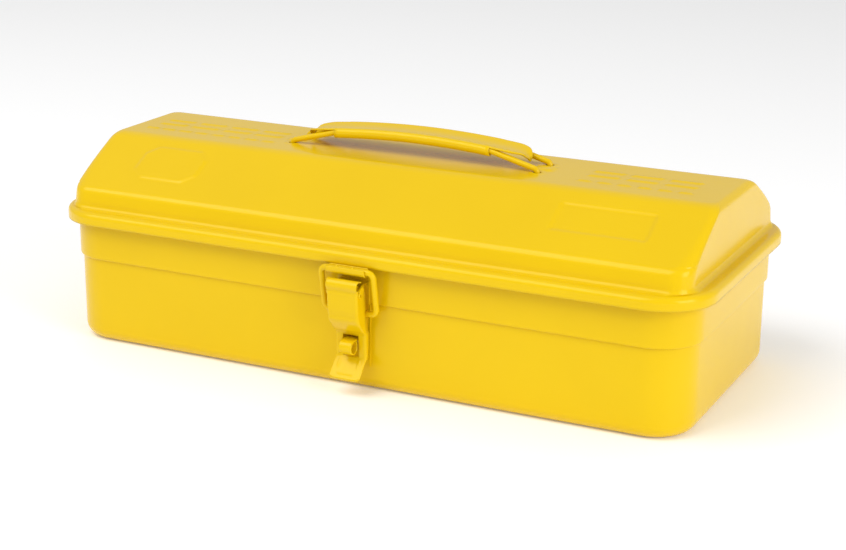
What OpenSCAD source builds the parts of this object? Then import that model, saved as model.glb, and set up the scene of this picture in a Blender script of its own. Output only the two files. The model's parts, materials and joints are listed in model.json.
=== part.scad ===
// Pressed-steel toolbox with a hip-roof lid, a lift-out tray, a rising handle and a draw latch.
// X runs along the length, -Y is the latch side, +Z is up; the origin is the middle of the base.

/* [Case] */
// Length over the lid's rim
rim_length = 373; // [300:1:450]
// Depth over the lid's rim
rim_depth = 167.5; // [138:0.5:202]
// Corner radius of the lid's rim
rim_corner_r = 29.8; // [26:0.2:36]
// Thickness of the case and lid sheet
sheet = 0.8; // [0.6:0.1:1]
// Height of the lower edge of the lid's rim
rim_z = 68.6; // [57:0.2:83]
// Distance from the rim's lower edge down to the step round the case walls
step_down = 20.4; // [18.6:0.2:26]
// How far the lower walls sit inside the upper walls
step_in = 1.5; // [1.2:0.1:2]
// Radius of the bottom edge
bottom_r = 7.5; // [5:0.5:9]

/* [Rim] */
// How far the rim stands out from the upper walls
rim_proud = 5.8; // [5.4:0.1:7]
// Straight height of the rim's lip
lip_h = 3.7; // [3.2:0.1:5]
// Outer radius of the rim bead
bead_r = 3.2; // [3:0.1:3.6]
// Radius of the hollow between the bead and the skirt
hollow_r = 3; // [2:0.5:4]
// Gap between the case flange and the lid's rim
rim_gap = 0.4; // [0.3:0.1:0.5]
// Thickness that the flange's down-turned lip hangs below its bend
flange_lip = 2.3; // [1.5:0.1:3]

/* [Lid] */
// Inset of the skirt from the rim's outer face
skirt_in = 8.6; // [7.5:0.1:10]
// Further inset of the break line, where the slopes start
skirt_lean = 1.7; // [0:0.1:3]
// Height of the break line above the rim's lower edge
break_up = 17.7; // [14:0.1:22]
// Height of the flat top above the rim's lower edge
top_up = 40.6; // [34:0.2:49]
// Depth of the flat top
top_depth = 59.8; // [48:0.2:72]
// Radius of the end edges at the flat top
top_edge_r = 6; // [3:0.5:10]
// Angle that the lid opens to
lid_open = 105; // [80:1:110]

/* [Handle] */
// Distance between the holes for the left and right wires
hole_span = 146; // [130:1:175]
// Distance between the front and rear wire
wire_gap = 18; // [14:0.5:22]
// Diameter of the handle wire
wire_d = 3.2; // [2.6:0.1:3.6]
// Gap between the wire and its hole in the lid
hole_play = 0.5; // [0.4:0.1:0.8]
// Length of the curled edges
curl_length = 92; // [70:1:96]
// Length of the grip over both tongues
grip_length = 131; // [110:1:134]
// Radius of the grip's arch
arch_r = 500; // [400:10:900]
// Height of the curl's centre above the flat top at mid-length
curl_up = 10.6; // [9.5:0.1:14]
// How far the handle lifts
handle_lift = 15; // [10:1:18]
// Depth of the wire's cross bar under the flat top at rest
bar_down = 19.3; // [16:0.1:23]

/* [Latch] */
// Middle of the latch along the length
latch_x = 2; // [-20:1:20]
// Width of the lever
lever_w = 17.8; // [16:0.2:22]
// Diameter of the bail wire
bail_d = 3.2; // [2.8:0.1:3.4]
// Distance between the bail's legs
bail_w = 29.8; // [27:0.1:34]
// Width of the catch
catch_w = 22; // [16:0.5:23]
// Diameter of the lever's pivot pin
pin_d = 2.5; // [2:0.1:3]
// Inner radius of the padlock staple
staple_r = 3; // [2.5:0.1:3.3]
// Width of the padlock staple
staple_w = 7.4; // [6:0.1:8]

/* [Hinges] */
// Distance between the two hinges
hinge_span = 220; // [150:1:280]
// Length of each hinge
hinge_w = 36; // [24:1:50]
// Diameter of the hinge pin
hinge_pin_d = 2.4; // [2:0.1:3]

/* [Tray] */
// Depth of the tray below its lip
tray_depth = 24; // [16:0.5:30]
// Thickness of the tray sheet
tray_sheet = 0.7; // [0.6:0.1:1]
// Gap between the tray's lip and the upper walls
tray_gap = 0.4; // [0.3:0.1:0.8]
// Gap between the tray's walls and the lower walls
tray_wall_gap = 1; // [0.8:0.1:2]
// Radius of the tray's bottom edge
tray_bottom_r = 4; // [2:0.5:8]
// Distance of the cross dividers from the middle
divider_x = 62; // [50:1:100]
// Distance of the long divider behind the middle
long_divider_y = 14; // [-30:1:40]
// Diameter of the tray's carrying wire
tray_wire_d = 3; // [2.4:0.1:3.4]
// Reach of the tray's carrying wire from its pivots
tray_wire_reach = 34; // [28:0.5:38]

/* [Hidden] */
$fn = 64;

paint = "gold";
tray_paint = "goldenrod";
steel = "silver";
// Facets for the shapes that are hulled
hull_fn = 32;
// Steps that a rounded sheet edge is drawn with
arc_steps = 8;
// Free play that keeps neighbouring sheets just apart
touch_gap = 0.05;
// Radial clearance of a pin or wire that turns in its hole
run_fit = 0.06;

// Case outline: half sizes of the upper walls, which every other outline is offset from
wall_x = rim_length / 2 - rim_proud;
wall_y = rim_depth / 2 - rim_proud;
wall_r = rim_corner_r - rim_proud;
step_z = rim_z - step_down;
ledge_z = step_z + sheet;

// Rim section: u is measured outwards from the upper walls
bead_z = rim_z + lip_h;
bead_u = rim_proud - bead_r;
flange_r = bead_r - sheet - rim_gap;
flange_z = bead_z + flange_r;
skirt_u = rim_proud - skirt_in;
break_u = skirt_u - skirt_lean;
hollow_z = bead_z + bead_r + hollow_r;
break_z = rim_z + break_up;
top_z = rim_z + top_up;
slope_angle = atan((top_z - break_z) / (wall_y + break_u - top_depth / 2));

// Points of an arc from angle a0 to a1
function arc(c, r, a0, a1) =
  [for (i = [0 : arc_steps]) let (a = a0 + (a1 - a0) * i / arc_steps) c + r * [cos(a), sin(a)]];

// A rectangle with round corners, centred on the origin
module round_rect(half_x, half_y, r) {
  square([2 * half_x, 2 * (half_y - r)], center = true);
  square([2 * (half_x - r), 2 * half_y], center = true);
  for (sx = [-1, 1], sy = [-1, 1])
    translate([sx * (half_x - r), sy * (half_y - r)]) circle(r = r);
}

// The case outline, offset outwards by u
module outline(u) {
  round_rect(wall_x + u, wall_y + u, wall_r + u);
}

// Sweeps a section round the case outline
module sweep_outline() {
  run_x = wall_x - wall_r;
  run_y = wall_y - wall_r;
  for (side = [0, 1]) rotate(180 * side) {
    translate([run_x, run_y]) rotate_extrude(angle = 90) translate([wall_r, 0]) children();
    translate([-run_x, run_y]) rotate(90) rotate_extrude(angle = 90) translate([wall_r, 0]) children();
    translate([wall_x, run_y]) rotate([90, 0, 0]) linear_extrude(2 * run_y) children();
    translate([-run_x, wall_y]) rotate([90, 0, 90]) linear_extrude(2 * run_x) children();
  }
}

// Draws a section in the Y-Z plane and extrudes it along X, centred on x
module along_x(x, width) {
  translate([x - width / 2, 0, 0]) rotate([90, 0, 90]) linear_extrude(width) children();
}

// A cylinder along X, centred on x
module bar_x(x, y, z, width, d) {
  translate([x - width / 2, y, z]) rotate([0, 90, 0]) cylinder(h = width, d = d);
}

// A straight length of wire along +Z, with what follows it at its end
module straight(length, d) {
  cylinder(h = length, d = d);
  translate([0, 0, length]) children();
}

// A wire bend of radius r that turns +Z towards +X, with what follows it at its end
module bend(r, angle, d) {
  translate([r, 0, 0]) rotate([90, 0, 180]) rotate_extrude(angle = angle) translate([r, 0]) circle(d = d);
  translate([r, 0, 0]) rotate([0, angle, 0]) translate([-r, 0, 0]) children();
}

// A rivet along +Z: a domed head below, a shank through the grip, and a flat tail
module rivet(grip, d, tail = rivet_tail) {
  head_d = 2 * d;
  head_h = 0.4 * d;
  dome_r = (head_d * head_d / 4 + head_h * head_h) / (2 * head_h);
  intersection() {
    translate([0, 0, dome_r - head_h]) sphere(r = dome_r);
    translate([0, 0, -head_h]) cylinder(h = head_h, d = head_d);
  }
  cylinder(h = grip, d = d);
  translate([0, 0, grip]) cylinder(h = tail, d = 1.6 * d);
}

rivet_d = 3;
rivet_tail = 0.5;
// Tails inside the case are pressed nearly flush, clear of the tray
case_tail = 0.2;
rivet_play = 0.05;
rivet_hole_d = rivet_d + 2 * rivet_play;

// ---- Case ----

module case_section() {
  floor_u = -step_in - bottom_r;
  flange_in_r = flange_r - sheet;
  polygon(concat(
    arc([floor_u, bottom_r], bottom_r, -90, 0),
    [[-step_in, step_z], [0, step_z], [0, bead_z + flange_in_r]],
    arc([bead_u, bead_z], flange_in_r, 90, 0),
    [[bead_u + flange_in_r, bead_z - flange_lip], [bead_u + flange_r, bead_z - flange_lip]],
    arc([bead_u, bead_z], flange_r, 0, 90),
    [[-sheet, flange_z], [-sheet, ledge_z], [-step_in - sheet, ledge_z]],
    arc([floor_u, bottom_r], bottom_r - sheet, 0, -90)
  ));
}

hinge_xs = [-hinge_span / 2, hinge_span / 2];
hinge_axis_r = hinge_pin_d / 2 + run_fit + sheet;
hinge_y = wall_y + rim_proud + hinge_axis_r;
hinge_z = rim_z - hinge_axis_r - 0.3;
hinge_rivet_z = (step_z + hinge_z - hinge_axis_r) / 2;
hinge_rivet_x = hinge_w / 3;

module body_shell() color(paint) difference() {
  union() {
    sweep_outline() case_section();
    linear_extrude(sheet) outline(-step_in - bottom_r);
  }
  for (x = hinge_xs, dx = [-hinge_rivet_x, hinge_rivet_x])
    translate([x + dx, wall_y + 1, hinge_rivet_z]) rotate([90, 0, 0]) cylinder(h = 4, d = rivet_hole_d);
  for (z = base_rivet_zs)
    translate([latch_x, -wall_y - 1, z]) rotate([-90, 0, 0]) cylinder(h = 6, d = rivet_hole_d);
}

// ---- Lid ----

module lid_section() {
  inner_r = bead_r - sheet;
  polygon(concat(
    [[rim_proud, rim_z]],
    arc([bead_u, bead_z], bead_r, 0, 90),
    arc([skirt_u + hollow_r, hollow_z], hollow_r, 270, 180),
    [[break_u, break_z], [break_u - sheet, break_z]],
    arc([skirt_u + hollow_r, hollow_z], hollow_r + sheet, 180, 270),
    arc([bead_u, bead_z], inner_r, 90, 0),
    [[rim_proud - sheet, rim_z]]
  ));
}

// How far the roof's inside is cut past its open end
open_cut = 0.001;

// The roof's outside, or its inside when the sheet is taken off
module roof(t) {
  slope_in = t / sin(slope_angle);
  slice = 0.01;
  hull() {
    translate([0, 0, break_z]) linear_extrude(slice)
      round_rect(wall_x + break_u - t, wall_y + break_u - slope_in, wall_r + break_u - t, $fn = hull_fn);
    translate([0, 0, top_z - t - slice]) linear_extrude(slice)
      round_rect(wall_x + break_u - t, top_depth / 2 - t * tan(slope_angle / 2), top_edge_r - t, $fn = hull_fn);
  }
}

wire_hole_d = wire_d + 2 * hole_play;

module wire_holes(x) {
  for (y = [-wire_gap / 2, wire_gap / 2])
    translate([x, y, top_z - 5]) cylinder(h = 10, d = wire_hole_d);
}

strap_rivet_z = (hollow_z + break_z) / 2 + 0.3;
skirt_tilt = atan(skirt_lean / (break_z - hollow_z));
strap_rivet_y = wall_y + skirt_u - (strap_rivet_z - hollow_z) * tan(skirt_tilt);

// Places something on the rear skirt, with +Z into the lid
module on_rear_skirt(out) {
  for (x = hinge_xs, dx = [-hinge_rivet_x, hinge_rivet_x])
    translate([x + dx, strap_rivet_y, strap_rivet_z]) rotate([90 + skirt_tilt, 0, 0])
      translate([0, 0, -out]) children();
}

module lid_shell() color(paint) difference() {
  union() {
    sweep_outline() lid_section();
    difference() {
      roof(0);
      translate([0, 0, -open_cut]) roof(sheet);
    }
  }
  for (sx = [-1, 1]) wire_holes(sx * hole_span / 2);
  on_rear_skirt(2) cylinder(h = 4, d = rivet_hole_d);
}

// ---- Hinges ----

module knuckle(x, width) {
  bar_x(x, hinge_y, hinge_z, width, 2 * hinge_axis_r);
}

module pin_bore(x) {
  bar_x(x, hinge_y, hinge_z, 2 * hinge_w, hinge_pin_d + 2 * run_fit);
}

knuckle_w = hinge_w / 3;
knuckle_play = 0.3;

module hinge_body_leaf(x) {
  bottom = hinge_z - hinge_axis_r;
  leaf_low = step_z + 1.3;
  difference() {
    union() {
      along_x(x, hinge_w) polygon([
        [wall_y, leaf_low], [wall_y + sheet, leaf_low], [wall_y + sheet, bottom],
        [hinge_y - hinge_axis_r - 1, bottom], [hinge_y - hinge_axis_r - 1, bottom + sheet],
        [wall_y, bottom + sheet]
      ]);
      for (side = [-1, 1]) {
        knuckle(x + side * knuckle_w, knuckle_w);
        along_x(x + side * knuckle_w, knuckle_w)
          translate([wall_y, bottom]) square([hinge_y - wall_y, sheet]);
      }
    }
    pin_bore(x);
    for (dx = [-hinge_rivet_x, hinge_rivet_x])
      translate([x + dx, wall_y + 3, hinge_rivet_z]) rotate([90, 0, 0]) cylinder(h = 4, d = rivet_hole_d);
  }
}

module hinge_lid_leaf(x) {
  face_y = wall_y + rim_proud;
  difference() {
    union() {
      along_x(x, hinge_w) translate([wall_y, 0]) polygon(concat(
        [[rim_proud, rim_z], [rim_proud + sheet, rim_z]],
        arc([bead_u, bead_z], bead_r + sheet, 0, 90),
        arc([skirt_u + hollow_r, hollow_z], hollow_r - sheet, 270, 180),
        [[break_u + sheet, break_z - 0.5], [break_u + 0.5 * tan(skirt_tilt), break_z - 0.5]],
        arc([skirt_u + hollow_r, hollow_z], hollow_r, 180, 270),
        arc([bead_u, bead_z], bead_r, 90, 0)
      ));
      knuckle(x, knuckle_w - 2 * knuckle_play);
      along_x(x, knuckle_w - 2 * knuckle_play)
        translate([face_y, hinge_z]) square([sheet, rim_z - hinge_z + 1]);
    }
    pin_bore(x);
    on_rear_skirt(2) cylinder(h = 4, d = rivet_hole_d);
  }
}

module left_hinge_body_leaf() color(paint) hinge_body_leaf(hinge_xs[0]);
module right_hinge_body_leaf() color(paint) hinge_body_leaf(hinge_xs[1]);
module left_hinge_lid_leaf() color(paint) hinge_lid_leaf(hinge_xs[0]);
module right_hinge_lid_leaf() color(paint) hinge_lid_leaf(hinge_xs[1]);

module hinge_pin(x) {
  head_w = 1;
  bar_x(x, hinge_y, hinge_z, hinge_w + 1, hinge_pin_d);
  for (side = [-1, 1])
    bar_x(x + side * (hinge_w / 2 + head_w / 2 + touch_gap), hinge_y, hinge_z, head_w, hinge_pin_d + 1.2);
}

module left_hinge_pin() color(steel) hinge_pin(hinge_xs[0]);
module right_hinge_pin() color(steel) hinge_pin(hinge_xs[1]);

module hinge_body_rivets() color(paint)
  for (x = hinge_xs, dx = [-hinge_rivet_x, hinge_rivet_x])
    translate([x + dx, wall_y + sheet, hinge_rivet_z]) rotate([90, 0, 0]) rivet(2 * sheet, rivet_d, case_tail);

module hinge_lid_rivets() color(paint)
  on_rear_skirt(sheet) rivet(2 * sheet, rivet_d);

// ---- Handle ----

curl_in_r = wire_d / 2 + 0.1;
curl_out_r = curl_in_r + sheet;
curl_z = top_z + curl_up;
arch_z = curl_z - arch_r;
panel_up = 1.2;
leg_angle = 15;

// Sweeps a section (radius, Y) along the grip's arch, over half_x each side of the middle
module sweep_arch(half_x) {
  half_angle = asin(half_x / arch_r);
  translate([0, 0, arch_z]) rotate([90, 0, 0]) rotate([0, 0, 90 - half_angle])
    rotate_extrude(angle = 2 * half_angle, $fn = 256) children();
}

module handle_grip() color(paint) {
  panel_half = wire_gap / 2 - sqrt(curl_out_r * curl_out_r - panel_up * panel_up) + 0.3;
  sweep_arch(curl_length / 2) {
    for (y = [-wire_gap / 2, wire_gap / 2]) translate([arch_r, y]) difference() {
      circle(r = curl_out_r);
      circle(r = curl_in_r);
    }
    translate([arch_r + panel_up - sheet / 2, -panel_half]) square([sheet, 2 * panel_half]);
  }
  intersection() {
    sweep_arch(grip_length / 2 + 2)
      translate([arch_r + panel_up - sheet / 2, -wire_gap]) square([sheet, 2 * wire_gap]);
    translate([0, 0, top_z]) linear_extrude(3 * curl_up) for (side = [0, 1]) rotate(180 * side) {
      nose_r = panel_half;
      translate([grip_length / 2 - nose_r, 0]) circle(r = nose_r);
      translate([curl_length / 2 - 1, -nose_r]) square([(grip_length - curl_length) / 2 - nose_r + 1, 2 * nose_r]);
    }
  }
}

// Unit vector along the path at point i
function heading(p, i) = let (v = p[min(i + 1, len(p) - 1)] - p[max(i - 1, 0)]) v / norm(v);

// One [centre, side, other side] frame for each point, each turned as little as possible from the last
function frames(p, n, i = 0) = i == len(p) ? [] :
  let (t = heading(p, i), flat = n - (n * t) * t, m = flat / norm(flat))
  concat([[p[i], m, cross(t, m)]], frames(p, m, i + 1));

// A round wire along a list of points
module wire_along(path, d, sides = 16) {
  rings = frames(path, [0, 1, 0]);
  last = len(path) - 1;
  points = [for (f = rings, k = [0 : sides - 1]) let (a = 360 * k / sides)
    f[0] + d / 2 * (cos(a) * f[1] + sin(a) * f[2])];
  skin = [for (i = [0 : last - 1], k = [0 : sides - 1]) let (n = (k + 1) % sides)
    [i * sides + k, (i + 1) * sides + k, (i + 1) * sides + n, i * sides + n]];
  caps = [[for (k = [0 : sides - 1]) k], [for (k = [sides - 1 : -1 : 0]) last * sides + k]];
  polyhedron(points, concat(skin, caps));
}

// Front half of one end's wire: out of the curl, down the slope, through the lid and half way across
function half_wire_path() =
  let (
    start_angle = asin(curl_length / 2 / arch_r), in_curl = 8, r1 = 6, r2 = 2.6, r3 = 2.4,
    y = -wire_gap / 2, hole_x = hole_span / 2, end = [curl_length / 2, arch_z + arch_r * cos(start_angle)],
    c1 = end - r1 * [sin(start_angle), cos(start_angle)],
    leg = (hole_x - c1[0] - r1 * sin(leg_angle) - r2 * (1 - sin(leg_angle))) / cos(leg_angle),
    c2 = c1 + (r1 - r2) * [sin(leg_angle), cos(leg_angle)] + leg * [cos(leg_angle), -sin(leg_angle)],
    bar_z = top_z - bar_down
  )
  concat(
    [[end[0] - in_curl * cos(start_angle), y, end[1] + in_curl * sin(start_angle)]],
    [for (q = arc(c1, r1, 90 - start_angle, 90 - leg_angle)) [q[0], y, q[1]]],
    [for (q = arc(c2, r2, 90 - leg_angle, 0)) [q[0], y, q[1]]],
    [for (q = arc([y + r3, bar_z + r3], r3, 180, 270)) [hole_x, q[0], q[1]]]
  );

module handle_wire() {
  half = half_wire_path();
  wire_along(concat(half, [for (i = [len(half) - 1 : -1 : 0]) [half[i][0], -half[i][1], half[i][2]]]), wire_d);
}

module left_handle_wire() color(paint) mirror([1, 0, 0]) handle_wire();
module right_handle_wire() color(paint) handle_wire();

module handle_plate(x) {
  plate_x = 20;
  plate_y = wire_gap + 14;
  difference() {
    translate([x, 0, top_z - 2 * sheet - open_cut]) linear_extrude(sheet) round_rect(plate_x / 2, plate_y / 2, 4);
    wire_holes(x);
  }
}

module left_handle_plate() color(paint) handle_plate(-hole_span / 2);
module right_handle_plate() color(paint) handle_plate(hole_span / 2);

// ---- Latch ----

lever_pin = [-(wall_y + 10.45), rim_z - 10.8];
bail_pivot = lever_pin + [6.4, -13.8];
catch_r = bail_d / 2 + 0.15;
bail_bar = [-(wall_y + rim_proud + sheet + catch_r), rim_z - 1.4];

// Heights in the lower latch are drawn for this height of the lever's pivot, and scaled to the real one
drawn_pin_z = 57.8;
function latch_z(z) = z * lever_pin[1] / drawn_pin_z;

staple_c = [-(wall_y + 7.25), latch_z(25.5)];
staple_top = staple_c[1] + staple_r + sheet;
staple_foot = 3;
slot_w = staple_w + 1.6;
slot_half_h = staple_r + sheet + 2;
slot_z = [staple_c[1] - slot_half_h, staple_c[1] + slot_half_h];
base_y = wall_y + sheet;
base_low_y = wall_y - step_in + sheet;
base_low_z = latch_z(13.5);
base_top_z = rim_z - 8.6;
base_rivet_zs = [step_z + 5, (staple_top + step_z - sheet) / 2];
ear_x = 5.8;
ear_t = 1;
ear_d = 4.6;
flange_x = lever_w / 2 - sheet;
flange_play = 0.2;
pin_bore_d = pin_d + 2 * run_fit;

// One ear's side view: from the pivot down to both flats of the base plate
module ear_section() {
  sunk = 0.3;
  side = [1.78, 1.46];
  difference() {
    polygon([
      lever_pin + side, lever_pin - side, [sunk - base_low_y, latch_z(41)], [sunk - base_low_y, latch_z(50.5)]
    ]);
    translate([sunk - base_y, step_z - sheet]) square(rim_z);
  }
}

module latch_base_plate() color(paint) difference() {
  union() {
    along_x(latch_x, lever_w - 2 * flange_play) polygon([
      [-wall_y, base_top_z], [-base_y, base_top_z], [-base_y, step_z - sheet],
      [-base_low_y, step_z - sheet], [-base_low_y, base_low_z], [-wall_y + step_in, base_low_z],
      [-wall_y + step_in, step_z], [-wall_y, step_z]
    ]);
    for (side = [-1, 1]) {
      along_x(latch_x + side * (ear_x + ear_t / 2), ear_t) ear_section();
      bar_x(latch_x + side * (ear_x + ear_t / 2), lever_pin[0], lever_pin[1], ear_t, ear_d);
    }
  }
  bar_x(latch_x, lever_pin[0], lever_pin[1], lever_w, pin_bore_d);
  for (z = base_rivet_zs)
    translate([latch_x, -wall_y - 3, z]) rotate([-90, 0, 0]) cylinder(h = 8, d = rivet_hole_d);
}

module latch_base_rivets() color(paint) {
  translate([latch_x, -base_y, base_rivet_zs[0]]) rotate([-90, 0, 0]) rivet(2 * sheet, rivet_d, case_tail);
  translate([latch_x, -base_low_y, base_rivet_zs[1]]) rotate([-90, 0, 0]) rivet(2 * sheet, rivet_d, case_tail);
}

module latch_pivot_pin() color(paint) {
  head_w = 0.8;
  bar_x(latch_x, lever_pin[0], lever_pin[1], lever_w + 0.4, pin_d);
  for (side = [-1, 1])
    bar_x(latch_x + side * (lever_w / 2 + 0.15 + head_w / 2), lever_pin[0], lever_pin[1], head_w, pin_d + 1.6);
}

module padlock_staple() color(paint) difference() {
  union() {
    bar_x(latch_x, staple_c[0], staple_c[1], staple_w, 2 * (staple_r + sheet));
    along_x(latch_x, staple_w) translate([staple_c[0], staple_top - sheet])
      square([-base_low_y - staple_c[0], sheet]);
    along_x(latch_x, staple_w) translate([-base_low_y - sheet, staple_top - sheet - staple_foot])
      square([sheet, staple_foot + sheet]);
  }
  bar_x(latch_x, staple_c[0], staple_c[1], 2 * staple_w, 2 * staple_r);
}

// Side view of the lever: the flat face, the foot of its slope and the flared tab
face = lever_pin[0] - 3.6;
face_top = lever_pin[1] - 2.3;
face_low = latch_z(41.5);
face_lean = 1;
slope_low = slot_z[1] + 2.5;
plate = staple_c[0] + staple_r + 0.1;
tab_end = [lever_pin[0] - 2.1, latch_z(9.5)];

// Lever's front sheet: a rolled top, a flat face, a slope in, a slotted plate and a flared tab
module lever_sheet() {
  roll = lever_pin + [-1.5, 2.3];
  roll_r = 3;
  dish = 0.6;
  polygon(concat(
    arc(roll, roll_r, 65, 205),
    [[face, face_top], [face + face_lean, face_low], [plate - dish, slope_low],
     [plate, slot_z[0] + 0.3], [plate - dish, slot_z[0] - 1.3], tab_end,
     tab_end + [0.62, -0.5], [plate + sheet - 0.5, slot_z[0] - 2], [plate + sheet, slot_z[0] + 0.1],
     [plate + sheet - dish, slope_low + 0.2], [face + face_lean + sheet, face_low + 0.3], [face + sheet, face_top]],
    arc(roll, roll_r - sheet, 205, 65)
  ));
}

module lever_flange() {
  inside = 0.4;
  polygon([
    lever_pin + [-2.8, 3.4], lever_pin + [-1, 4.6], lever_pin + [3.5, 4.6], lever_pin + [7.6, 2.4],
    lever_pin + [8.5, -1.5], bail_pivot + [3.1, 3], bail_pivot + [3.2, -3],
    [plate + sheet + 0.9, slot_z[0] + 2.3], [plate + 0.2, slot_z[0] + 1.3], [plate - inside, slope_low],
    [face + face_lean + 0.3, face_low + 0.3], [face + inside, face_top]
  ]);
}

module latch_lever() color(paint) difference() {
  union() {
    along_x(latch_x, lever_w) lever_sheet();
    for (side = [-1, 1])
      along_x(latch_x + side * (lever_w - sheet) / 2, sheet) lever_flange();
  }
  bar_x(latch_x, lever_pin[0], lever_pin[1], 2 * lever_w, pin_bore_d);
  bar_x(latch_x, bail_pivot[0], bail_pivot[1], 2 * lever_w, bail_d + 2 * run_fit);
  translate([latch_x - slot_w / 2, staple_c[0], slot_z[0]])
    cube([slot_w, 8, slot_z[1] - slot_z[0]]);
}

// How far the bail's ends reach inside the lever's flanges
bail_end = 0.8;

// Half of the bail: from its pivot in the lever's flange, up one leg and along half the cross bar
module latch_bail_half() {
  rise = bail_bar - bail_pivot;
  corner_r = 3.2;
  inner_x = flange_x - bail_end;
  translate([latch_x + inner_x, bail_pivot[0], bail_pivot[1]]) rotate([atan2(-rise[0], rise[1]), 0, 0])
    rotate([0, 90, 0]) straight(bail_w / 2 - inner_x - corner_r, bail_d) rotate([0, 0, 180])
    bend(corner_r, 90, bail_d) straight(norm(rise) - 2 * corner_r, bail_d) rotate([0, 0, 180])
    mirror([1, 0, 0]) bend(corner_r, 90, bail_d) straight(bail_w / 2 - corner_r, bail_d);
}

module latch_bail() color(paint) {
  latch_bail_half();
  translate([2 * latch_x, 0, 0]) mirror([1, 0, 0]) latch_bail_half();
}

module latch_catch() color(paint) {
  face = -(wall_y + rim_proud);
  lip_top = rim_z + 0.2;
  along_x(latch_x, catch_w) polygon(concat(
    [[face, bead_z - 0.3], [face - sheet, bead_z - 0.3]],
    arc(bail_bar, catch_r, 360, 180),
    [[bail_bar[0] - catch_r, lip_top], [bail_bar[0] - catch_r - sheet, lip_top]],
    arc(bail_bar, catch_r + sheet, 180, 360)
  ));
}

// ---- Tray ----

tray_u = -step_in - sheet - tray_wall_gap;
tray_lip_z = ledge_z + touch_gap;
tray_z = tray_lip_z - tray_depth;
tray_floor_z = tray_z + tray_sheet;
tray_end_x = wall_x + tray_u - tray_sheet;
tray_side_y = wall_y + tray_u - tray_sheet;
tray_pivot_z = tray_lip_z - 6;
divider_top = tray_pivot_z - tray_wire_d / 2 - 0.4;
ear_thick = 2;
ear_w = 16;
tray_rivet_z = tray_pivot_z - 9;

module tray_section() {
  c = [tray_u - tray_bottom_r, tray_z + tray_bottom_r];
  lip_u = -sheet - tray_gap;
  polygon(concat(
    arc(c, tray_bottom_r, -90, 0),
    [[tray_u, tray_lip_z], [lip_u, tray_lip_z], [lip_u, tray_lip_z + tray_sheet],
     [tray_u - tray_sheet, tray_lip_z + tray_sheet]],
    arc(c, tray_bottom_r - tray_sheet, 0, -90)
  ));
}

module tray_rivet_places() {
  for (side = [0, 1], y = [-ear_w / 4, ear_w / 4])
    rotate(180 * side) translate([tray_end_x - ear_thick, y, tray_rivet_z]) rotate([0, 90, 0]) children();
}

module tray_pan() color(tray_paint) difference() {
  union() {
    sweep_outline() tray_section();
    translate([0, 0, tray_z]) linear_extrude(tray_sheet) outline(tray_u - tray_bottom_r);
  }
  tray_rivet_places() cylinder(h = 6, d = rivet_hole_d);
}

divider_foot = 8;
divider_play = 0.2;

// A divider across the tray, with a foot on the floor and round bottom corners clear of the pan's edge
module cross_divider(x) {
  half = tray_side_y - divider_play;
  translate([x - tray_sheet / 2, 0, tray_floor_z]) rotate([90, 0, 90]) linear_extrude(tray_sheet) difference() {
    translate([-half, 0]) square([2 * half, divider_top - tray_floor_z]);
    for (side = [-1, 1]) translate([side * half, 0]) circle(r = tray_bottom_r);
  }
  translate([x, tray_bottom_r - half, tray_floor_z])
    cube([divider_foot, 2 * (half - tray_bottom_r), tray_sheet]);
}

module left_tray_divider() color(tray_paint) cross_divider(-divider_x);
module right_tray_divider() color(tray_paint) mirror([1, 0, 0]) cross_divider(-divider_x);

// The divider along the tray, notched over the feet of the cross dividers
module long_tray_divider() color(tray_paint) {
  half = divider_x - tray_sheet / 2 - divider_play;
  foot_half = divider_x - divider_foot - 1;
  notch = tray_sheet + divider_play;
  rise = divider_top - tray_floor_z;
  translate([0, long_divider_y + tray_sheet, tray_floor_z]) rotate([90, 0, 0]) linear_extrude(tray_sheet) {
    translate([-half, notch]) square([2 * half, rise - notch]);
    translate([-foot_half, 0]) square([2 * foot_half, rise]);
  }
  translate([-foot_half, long_divider_y, tray_floor_z]) cube([2 * foot_half, divider_foot, tray_sheet]);
}

module tray_ear() difference() {
  translate([tray_end_x - ear_thick, 0, 0]) rotate([90, 0, 90]) linear_extrude(ear_thick) {
    translate([0, tray_pivot_z]) circle(d = 9);
    translate([-ear_w / 2, tray_rivet_z - 4]) square([ear_w, 8]);
    translate([-4.5, tray_rivet_z]) square([9, tray_pivot_z - tray_rivet_z]);
  }
  bar_x(tray_end_x, 0, tray_pivot_z, 4 * ear_thick, tray_wire_d + 2 * run_fit);
  tray_rivet_places() translate([0, 0, -1]) cylinder(h = 6, d = rivet_hole_d);
}

module left_tray_ear() color(tray_paint) rotate(180) tray_ear();
module right_tray_ear() color(tray_paint) tray_ear();

module tray_rivets() color(tray_paint)
  tray_rivet_places() rivet(ear_thick + tray_sheet, rivet_d);

// Half of the carrying wire, folded flat towards the front: pivot, leg and half the cross bar
module tray_handle_half() {
  corner_r = 6;
  pin_x = tray_end_x - 0.2;
  leg_x = tray_end_x - ear_thick - tray_wire_d / 2 - 1.5;
  corner_in = 2.5;
  translate([pin_x, 0, tray_pivot_z]) rotate([0, -90, 0]) straight(pin_x - leg_x - corner_in, tray_wire_d)
    rotate([0, 0, -90]) bend(corner_in, 90, tray_wire_d)
    straight(tray_wire_reach - corner_in - corner_r, tray_wire_d)
    rotate([0, 0, 180]) bend(corner_r, 90, tray_wire_d)
    straight(leg_x - corner_r, tray_wire_d);
}

module tray_handle() color(steel) {
  tray_handle_half();
  mirror([1, 0, 0]) tray_handle_half();
}

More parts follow.
